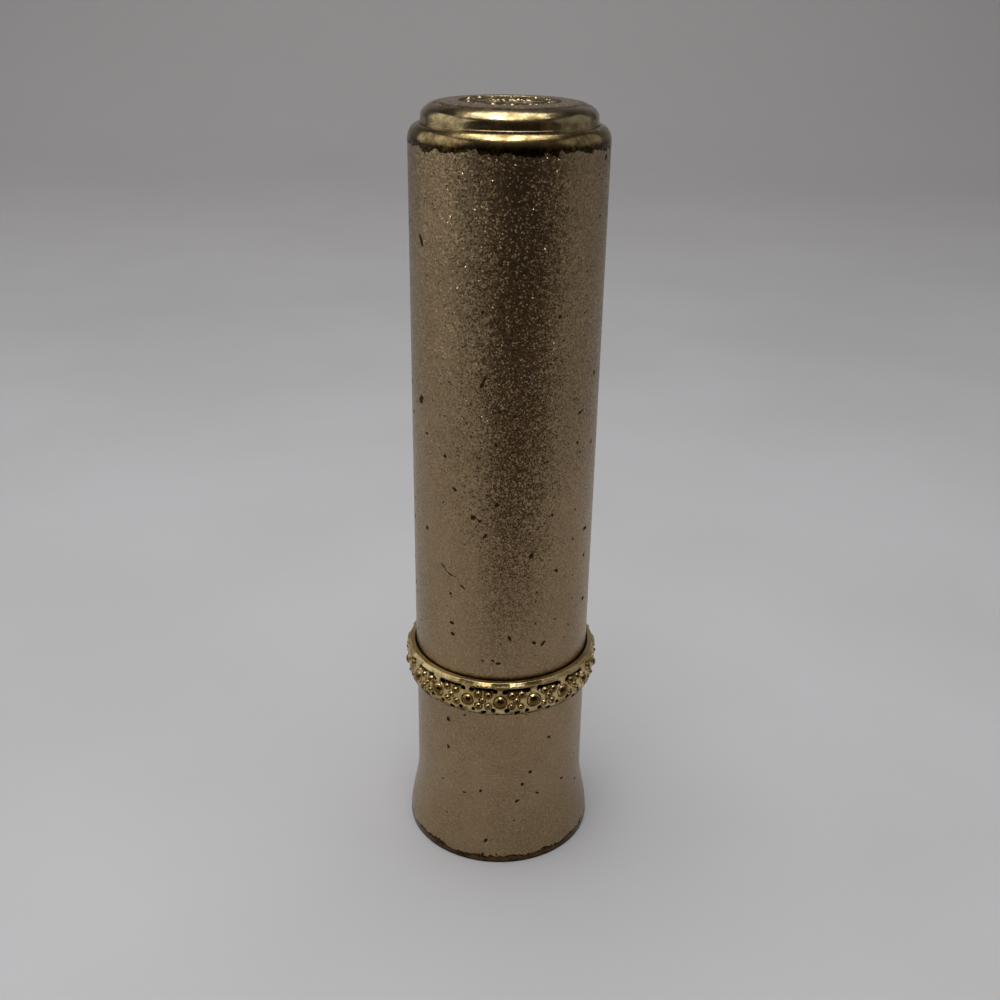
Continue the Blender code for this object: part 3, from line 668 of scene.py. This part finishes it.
def make_cap_top(material):
    """Stamped plinth with its crest, its small ledge and the flange below."""
    high = TOP_HIGH.z
    flange = TOP_HIGH.x
    field = high - CREST_DEPTH
    turn = [math.radians(90.0 - 90.0 * step / 16) for step in range(1, 17)]
    rounding = [(PLINTH_RADIUS - PLINTH_EDGE_WIDTH * (1.0 - math.cos(a)),
                 high - PLINTH_EDGE_HEIGHT * (1.0 - math.sin(a)), 0.0) for a in turn]
    crest_rows = np.linspace(0.0, CREST_RADIUS - 0.05 * MM, 70)
    rest = outline([
        (CREST_RADIUS - 0.02 * MM, field, 0.0), (CREST_RADIUS + 0.1 * MM, high, 0.08 * MM),
        (PLINTH_RADIUS - PLINTH_EDGE_WIDTH, high, 0.0), *rounding,
        (PLINTH_RADIUS, LEDGE_TOP, 0.05 * MM),
        (LEDGE_RADIUS + 0.02 * MM, LEDGE_TOP, 0.09 * MM),
        (LEDGE_RADIUS + 0.02 * MM, SHELL_HIGH.z - 0.05 * MM, 0.0),
        (PLINTH_RADIUS - 0.03 * MM, SHELL_HIGH.z - 0.35 * MM, 0.0),
        (PLINTH_RADIUS - 0.03 * MM, TOP_LOW.z + WALL, 0.1 * MM), (flange, TOP_LOW.z + WALL, 0.1 * MM),
        (flange, TOP_LOW.z, 0.1 * MM), (PLINTH_RADIUS - WALL, TOP_LOW.z, 0.2 * MM),
        (PLINTH_RADIUS - WALL, high - WALL, 0.3 * MM), (0.0, high - WALL - CREST_DEPTH, 0.0)])
    angles = column_angles(CREST_COLUMNS)
    grid_radius, grid_angle = np.meshgrid(crest_rows, angles)
    relief = crest_relief(grid_radius, grid_angle) * 0.24 * MM
    fade = smooth_step(grid_radius, CREST_RADIUS - 0.1 * MM, CREST_RADIUS - 0.35 * MM)
    radii = np.hstack([grid_radius, np.tile([point[0] for point in rest], (CREST_COLUMNS, 1))])
    heights = np.hstack([field + relief * fade, np.tile([point[1] for point in rest], (CREST_COLUMNS, 1))])
    top = revolve("cap_top_skin", radii, heights, angles, material, False)
    place(top, "cap", "top_lacquer", "cap_top")


def make_liner(material):
    """Springy tube, slit from below into fingers with a dimple on each."""
    fingers = 6
    columns = 144
    rows = 49
    slit = 2
    inner = SLEEVE_HIGH.x + 0.2 * MM
    reach = 10.0 * MM
    heights = np.linspace(LINER_HIGH.z, LINER_LOW.z, rows)
    per_finger = columns // fingers
    places = []
    for column in range(columns):
        angle = math.tau * column / columns
        offset = (column % per_finger - 0.5 * per_finger) * math.tau / columns * inner
        for height in heights:
            dimple = math.exp(-(offset ** 2 + (height - LINER_LOW.z - 3.0 * MM) ** 2) / (0.8 * MM) ** 2)
            radius = inner + 0.15 * MM - 0.12 * MM * dimple
            places.append((radius * math.cos(angle), radius * math.sin(angle), height))
    faces = []
    for column in range(columns):
        is_slit = (column + slit // 2) % per_finger < slit
        beside = (column + 1) % columns
        for row in range(rows - 1):
            if is_slit and heights[row] < LINER_LOW.z + reach:
                continue
            here = column * rows + row
            there = beside * rows + row
            faces.append((here, here + 1, there + 1, there))
    mesh = bpy.data.meshes.new("cap_liner_skin")
    mesh.from_pydata(places, [], faces)
    mesh.shade_smooth()
    mesh.materials.append(material)
    liner = bpy.data.objects.new("cap_liner_skin", mesh)
    bpy.context.scene.collection.objects.link(liner)
    solid = liner.modifiers.new("wall", "SOLIDIFY")
    solid.thickness = 0.25 * MM
    solid.offset = 0.0
    place(liner, "cap", "liner_aluminium", "cap_liner")


def make_sleeve(material):
    """Polished sleeve with its mouth turned in and two rolled grip lines near its foot."""
    outer = SLEEVE_HIGH.x
    inner = outer - SLEEVE_WALL
    top = SLEEVE_HIGH.z
    corners = [(SLEEVE_MOUTH_RADIUS, top, 0.12 * MM), (outer, top, 0.7 * MM)]
    for line in GRIP_LINES:
        corners += [(outer, line + 0.16 * MM, 0.1 * MM), (outer - 0.1 * MM, line, 0.1 * MM),
                    (outer, line - 0.16 * MM, 0.1 * MM)]
    corners += [(outer, SLEEVE_LOW.z, 0.1 * MM), (inner, SLEEVE_LOW.z, 0.1 * MM),
                (inner, top - SLEEVE_WALL, SLEEVE_WALL), (SLEEVE_MOUTH_RADIUS, top - SLEEVE_WALL, 0.0)]
    sleeve = lathe("outer_sleeve_skin", outline(corners), material)
    place(sleeve, "sleeve", "sleeve_brass", "outer_sleeve")


def make_stick(material):
    """Domed stick with a slanted face, its edge softened by the mould."""
    radius = STICK_HIGH.x
    low = STICK_LOW.z
    dome_rise = 3.0 * MM
    dome_base = 40.0 * MM
    face_height = 39.0 * MM
    slope = math.tan(math.radians(48.0))
    columns = 160
    angles = column_angles(columns)
    dome = np.linspace(0.0, math.pi / 2.0, 60)
    wall = np.linspace(dome_base, 30.0 * MM, 40)[1:]
    rows_radius = np.concatenate([
        radius * np.sin(dome), np.full(len(wall), radius), [radius, radius - 0.2 * MM, 0.0]])
    rows_height = np.concatenate([dome_base + dome_rise * np.cos(dome), wall, [low + 0.2 * MM, low, low]])
    radii = np.tile(rows_radius, (columns, 1))
    heights = np.tile(rows_height, (columns, 1))
    plane = face_height + radii * np.sin(angles)[:, None] * slope
    soft = 0.22 * MM
    middle = 0.5 * (heights + plane)
    apart = 0.5 * (heights - plane)
    cut = middle - np.sqrt(apart ** 2 + soft ** 2) + 0.5 * soft ** 2 / np.maximum(np.abs(apart), soft)
    heights = np.where(heights > 25.0 * MM, cut, heights)
    stick = revolve("lipstick_skin", radii, heights, angles, material, False)
    place(stick, "carrier", "stick_wax", "lipstick")


def dress_inner_nodes(brass, plastic):
    """Finishes for the CAD pieces of the mechanism."""
    for node in ("slotted_tube", "spiral_sleeve", "base_insert", "carrier_cup", "carrier_stud_right",
                 "carrier_stud_left"):
        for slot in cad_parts[node].material_slots:
            slot.material = brass
    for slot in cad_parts["friction_washer"].material_slots:
        slot.material = plastic


# ---------------------------------------------------------------- stage

def make_floor():
    """Pale sweep: a floor that curves up into a backdrop far behind the case."""
    material, tree, shader, where = new_material("pale_card_sweep")
    clouds = noise(tree, where, 60.0 * MM, detail=3.0)
    colour = blend(tree, ramp(tree, clouds, 0.3, 0.7), "#bebdbf", "#b9b8b9")
    along = add(tree, "SeparateXYZ", {"Vector": where}).outputs["Y"]
    # Painted light: the far end and the backdrop are painted paler to keep the backdrop even where less light
    # falls.
    colour = blend(tree, ramp(tree, along, 0.2, 0.75, smooth=False), colour, "#e6e1e1")
    tree.links.new(colour, shader.inputs["Base Color"])
    shader.inputs["Roughness"].default_value = 0.6
    near = -1.6
    half_width = 2.0
    wall_top = 1.6
    turn_start = 0.45
    turn = 0.35
    section = [(near, 0.0), (turn_start, 0.0)]
    for step in range(1, 17):
        angle = 0.5 * math.pi * step / 16
        section.append((turn_start + turn * math.sin(angle), turn * (1.0 - math.cos(angle))))
    section.append((turn_start + turn, wall_top))
    places = []
    for across in (-half_width, half_width):
        places += [(across, along, height) for along, height in section]
    count = len(section)
    faces = [(step, count + step, count + step + 1, step + 1) for step in range(count - 1)]
    mesh = bpy.data.meshes.new("pale_sweep")
    mesh.from_pydata(places, [], faces)
    mesh.shade_smooth()
    mesh.materials.append(material)
    sweep = bpy.data.objects.new("pale_sweep", mesh)
    bpy.context.scene.collection.objects.link(sweep)


def make_surround():
    """Grey wall round the sweep that glows with painted light, darker towards the bottom, and lights nothing,
    so that no view ends in the dark.
    """
    material, tree, shader, where = new_material("self_lit_grey_wall")
    rise = add(tree, "SeparateXYZ", {"Vector": where}).outputs["Z"]
    # Painted light: the wall's own glow, darker towards the bottom.
    glow = blend(tree, ramp(tree, rise, -0.05, 0.45), "#504f50", "#8f8d8e")
    tree.links.new(glow, shader.inputs["Emission Color"])
    shader.inputs["Emission Strength"].default_value = 1.0
    shader.inputs["Base Color"].default_value = linear("#303030")
    shader.inputs["Roughness"].default_value = 0.9
    columns = 96
    radius = 0.98
    wall_top = 1.5
    places = []
    for angle in column_angles(columns):
        places += [(radius * math.cos(angle), radius * math.sin(angle), height) for height in (0.0, wall_top)]
    faces = []
    for column in range(columns):
        here = 2 * column
        beside = 2 * ((column + 1) % columns)
        faces.append((here, beside, beside + 1, here + 1))
    mesh = bpy.data.meshes.new("grey_wall")
    mesh.from_pydata(places, [], faces)
    mesh.shade_smooth()
    mesh.materials.append(material)
    wall = bpy.data.objects.new("grey_wall", mesh)
    bpy.context.scene.collection.objects.link(wall)
    wall.visible_diffuse = False
    wall.visible_glossy = False
    wall.visible_shadow = False


def soft_light(name, place_at, size, power):
    """Oblong soft light that faces the middle of the case."""
    data = bpy.data.lights.new(name, "AREA")
    data.shape = "RECTANGLE"
    data.size, data.size_y = size
    data.energy = power
    light = bpy.data.objects.new(name, data)
    light.location = place_at
    aim = Vector((0.0, 0.0, 0.035)) - Vector(place_at)
    light.rotation_euler = aim.to_track_quat("-Z", "Y").to_euler()
    light.visible_camera = False
    bpy.context.scene.collection.objects.link(light)


def make_flag():
    """Dark card that leans in front, standing for a person with a phone and the shade they cast on the floor
    there; seen only in the mirroring sides, it paints a dark reflection, with paler margins.

    Its sides run along rays from the case's axis, which a side value of across over away gives.
    """
    material, tree, shader, where = new_material("dark_reflection_card")
    fibres = noise(tree, where, 2.0 * MM, detail=3.0)
    parts = add(tree, "SeparateXYZ", {"Vector": where}).outputs
    sideways = calc(tree, "DIVIDE", parts["X"], calc(tree, "MULTIPLY", parts["Y"], -1.0))
    reflection_fade = calc(tree, "MAXIMUM", ramp(tree, sideways, -0.16, -0.3), ramp(tree, sideways, 0.75, 1.1))
    reflection_fade = calc(tree, "MAXIMUM", reflection_fade, ramp(tree, parts["Z"], 0.062, 0.0, 0.0, 0.95))
    # Painted dark reflection: a dark core, with paler margins at its sides and foot that fade it into the lit
    # surroundings.
    colour = blend(tree, reflection_fade, blend(tree, fibres, "#24201b", "#2e2922"), "#705b46")
    tree.links.new(colour, shader.inputs["Base Color"])
    shader.inputs["Roughness"].default_value = 0.9
    left, right = -0.36, 1.35
    near_foot, near_head = 0.065, 0.125
    foot, head = 0.002, 0.26
    corners = [(left, near_foot, foot), (right, near_foot, foot),
               (right, near_head, head), (left, near_head, head)]
    mesh = bpy.data.meshes.new("dark_flag")
    mesh.from_pydata([(side * away, -away, height) for side, away, height in corners], [], [(0, 1, 2, 3)])
    mesh.materials.append(material)
    flag = bpy.data.objects.new("dark_flag", mesh)
    bpy.context.scene.collection.objects.link(flag)
    flag.visible_camera = False
    flag.visible_shadow = False
    flag.visible_diffuse = False


def make_stage():
    make_floor()
    make_surround()
    make_flag()
    soft_light("overhead", (-0.02, -0.02, 0.36), (0.34, 0.30), 0.52)
    soft_light("lamp", (-0.02, -0.09, 0.35), (0.14, 0.12), 0.35)
    soft_light("left_panel", (-0.55, 0.0, 0.26), (0.75, 0.50), 1.05)
    soft_light("right_panel", (0.52, 0.06, 0.26), (0.65, 0.50), 0.28)
    soft_light("backdrop_wash", (0.0, 0.15, 0.85), (0.6, 0.4), 2.0)
    world = bpy.data.worlds.new("studio")
    world.use_nodes = True
    background = world.node_tree.nodes["Background"]
    background.inputs["Color"].default_value = linear("#e8ecf2")
    background.inputs["Strength"].default_value = 0.02
    bpy.context.scene.world = world
    bpy.context.scene.view_settings.view_transform = "Standard"


def make_camera():
    """Close camera a little above the case, tipped down, with a slight tilt to one side."""
    data = bpy.data.cameras.new("camera")
    data.sensor_width = 36.0
    data.lens = 42.5
    data.clip_start = 1.0 * MM
    data.clip_end = 20.0
    camera = bpy.data.objects.new("camera", data)
    tip = Matrix.Rotation(math.radians(90.0 - 23.73), 4, "X")
    tilt = Matrix.Rotation(math.radians(0.87), 4, "Z")
    camera.matrix_world = Matrix.Translation((-0.34 * MM, -108.9 * MM, 85.55 * MM)) @ tip @ tilt
    bpy.context.scene.collection.objects.link(camera)
    bpy.context.scene.camera = camera


def main():
    lacquer_base = frosted_lacquer(
        "frosted_champagne_lacquer_base", foot_wear, ("#614d2f", "#382b15"), 0.75, BASE_MARKS)
    lacquer_cap = frosted_lacquer(
        "frosted_champagne_lacquer_cap", shoulder_wear, ("#b39c6c", "#6a583a"), 0.5, CAP_MARKS)
    lacquer_top = frosted_lacquer(
        "rubbed_champagne_lacquer_top", top_wear, ("#b3a078", "#746342"), 0.85, None)
    gilt = gilt_brass(RING_HIGH.x - 0.62 * MM, RING_HIGH.x - 0.38 * MM)
    plain = simple_metal("drawn_brass", "#c9a25c", "#ad8846", 0.4 * MM, 0.28, 0.42, 0.01 * MM, 0.1)
    polished = simple_metal(
        "polished_brass_sleeve", "#dcb870", "#cfa95f", 0.25 * MM, 0.14, 0.24, 0.004 * MM, 0.05)
    aluminium = simple_metal(
        "drawn_aluminium", "#c9c9c6", "#b5b5b2", 0.3 * MM, 0.26, 0.4, 0.008 * MM, 0.05)
    paper = matt_stock("cream_label_paper", "#e9e0c8", "#d8ccb0", 0.5 * MM, 0.85)
    plastic = matt_stock("off_white_washer", "#dcd6c4", "#cfc8b4", 0.8 * MM, 0.5)
    make_base(lacquer_base)
    make_plate(plain, paper)
    make_ring(gilt)
    make_cap_shell(lacquer_cap)
    make_cap_top(lacquer_top)
    make_liner(aluminium)
    make_sleeve(polished)
    make_stick(lipstick_wax())
    dress_inner_nodes(plain, plastic)
    make_stage()
    make_camera()


main()
